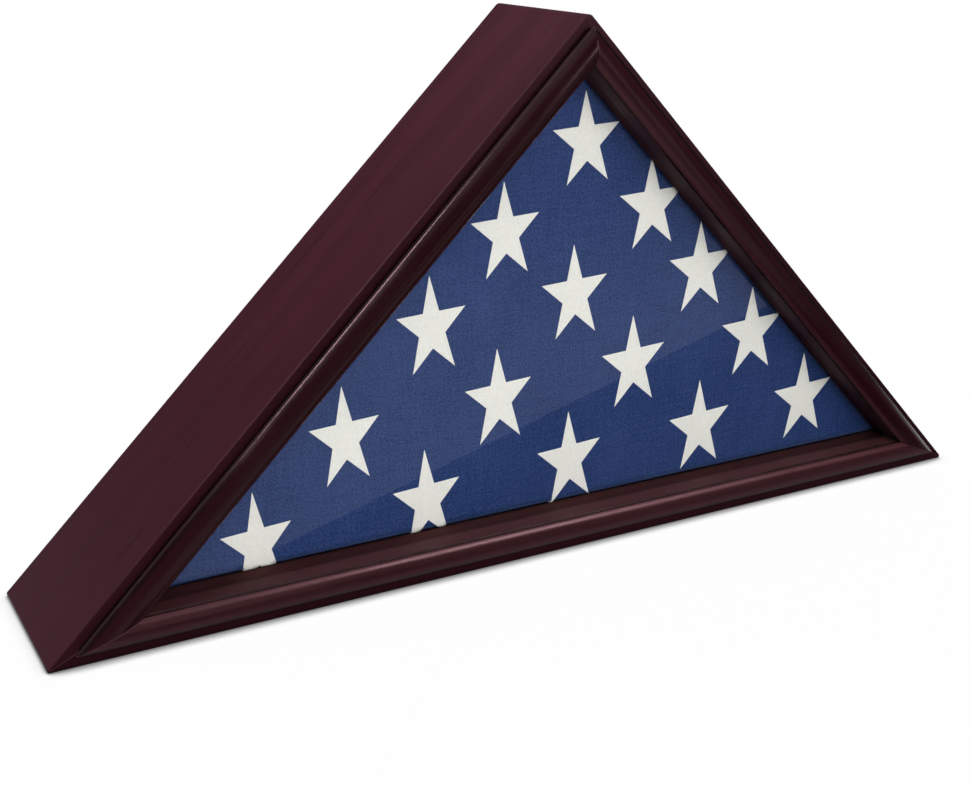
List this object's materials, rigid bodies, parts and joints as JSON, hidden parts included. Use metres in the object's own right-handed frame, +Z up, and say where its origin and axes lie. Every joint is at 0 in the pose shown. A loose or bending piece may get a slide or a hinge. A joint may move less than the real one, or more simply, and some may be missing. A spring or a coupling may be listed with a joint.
{
  "type": "folded flag display case",
  "caption": "Triangular mitred wooden display case with a moulded, glazed front that shows a folded star-field flag, and a lift-out back panel locked by turn buttons.",
  "frame": {"origin": "middle of the base board's underside", "axes": "+Z up, +X to the right seen from the front, -Y out of the glazed front"},
  "size_m": [0.6358, 0.1112, 0.3186],
  "materials": {
    "mahogany_lacquer": "satin lacquer over dark red-brown mahogany stain",
    "stop_wood": "stained, thin lacquer",
    "spline_wood": "bare plywood",
    "glass": "clear float glass",
    "flag_cotton": "plain-weave cotton with pale sewn stars",
    "panel_board": "dark-stained hardboard",
    "plated_steel": "brass-plated steel",
    "nail_steel": "bright steel"
  },
  "bodies": {
    "case": {"left_side_board": "mahogany_lacquer", "right_side_board": "mahogany_lacquer", "base_board": "mahogany_lacquer", "apex_spline": "spline_wood", "left_foot_spline": "spline_wood", "right_foot_spline": "spline_wood", "left_front_moulding": "mahogany_lacquer", "right_front_moulding": "mahogany_lacquer", "bottom_front_moulding": "mahogany_lacquer", "moulding_corner_nails": "nail_steel", "glass_pane": "glass", "left_glass_stop": "stop_wood", "right_glass_stop": "stop_wood", "bottom_glass_stop": "stop_wood", "stop_brads": "nail_steel", "folded_flag": "flag_cotton", "turn_button_screws": "plated_steel"},
    "back_panel": {"back_panel": "panel_board"},
    "left_upper_turn_button": {"left_upper_turn_button": "plated_steel"},
    "left_lower_turn_button": {"left_lower_turn_button": "plated_steel"},
    "right_upper_turn_button": {"right_upper_turn_button": "plated_steel"},
    "right_lower_turn_button": {"right_lower_turn_button": "plated_steel"},
    "base_left_turn_button": {"base_left_turn_button": "plated_steel"},
    "base_right_turn_button": {"base_right_turn_button": "plated_steel"}
  },
  "joints": [
    {"name": "panel_slide", "type": "slide", "parent": "case", "child": "back_panel", "axis": [0, 1, 0], "range_m": [0, 0.12]},
    {"name": "left_upper_turn", "type": "hinge", "parent": "case", "child": "left_upper_turn_button", "pos_m": [-0.0795, 0.04945, 0.23506], "axis": [0, -1, 0], "range_deg": [0, 90]},
    {"name": "left_lower_turn", "type": "hinge", "parent": "case", "child": "left_lower_turn_button", "pos_m": [-0.23506, 0.04945, 0.0795], "axis": [0, -1, 0], "range_deg": [0, 90]},
    {"name": "right_upper_turn", "type": "hinge", "parent": "case", "child": "right_upper_turn_button", "pos_m": [0.0795, 0.04945, 0.23506], "axis": [0, 1, 0], "range_deg": [0, 90]},
    {"name": "right_lower_turn", "type": "hinge", "parent": "case", "child": "right_lower_turn_button", "pos_m": [0.23506, 0.04945, 0.0795], "axis": [0, 1, 0], "range_deg": [0, 90]},
    {"name": "base_left_turn", "type": "hinge", "parent": "case", "child": "base_left_turn_button", "pos_m": [-0.18, 0.04945, 0.00715], "axis": [0, -1, 0], "range_deg": [0, 90]},
    {"name": "base_right_turn", "type": "hinge", "parent": "case", "child": "base_right_turn_button", "pos_m": [0.18, 0.04945, 0.00715], "axis": [0, 1, 0], "range_deg": [0, 90]}
  ]
}
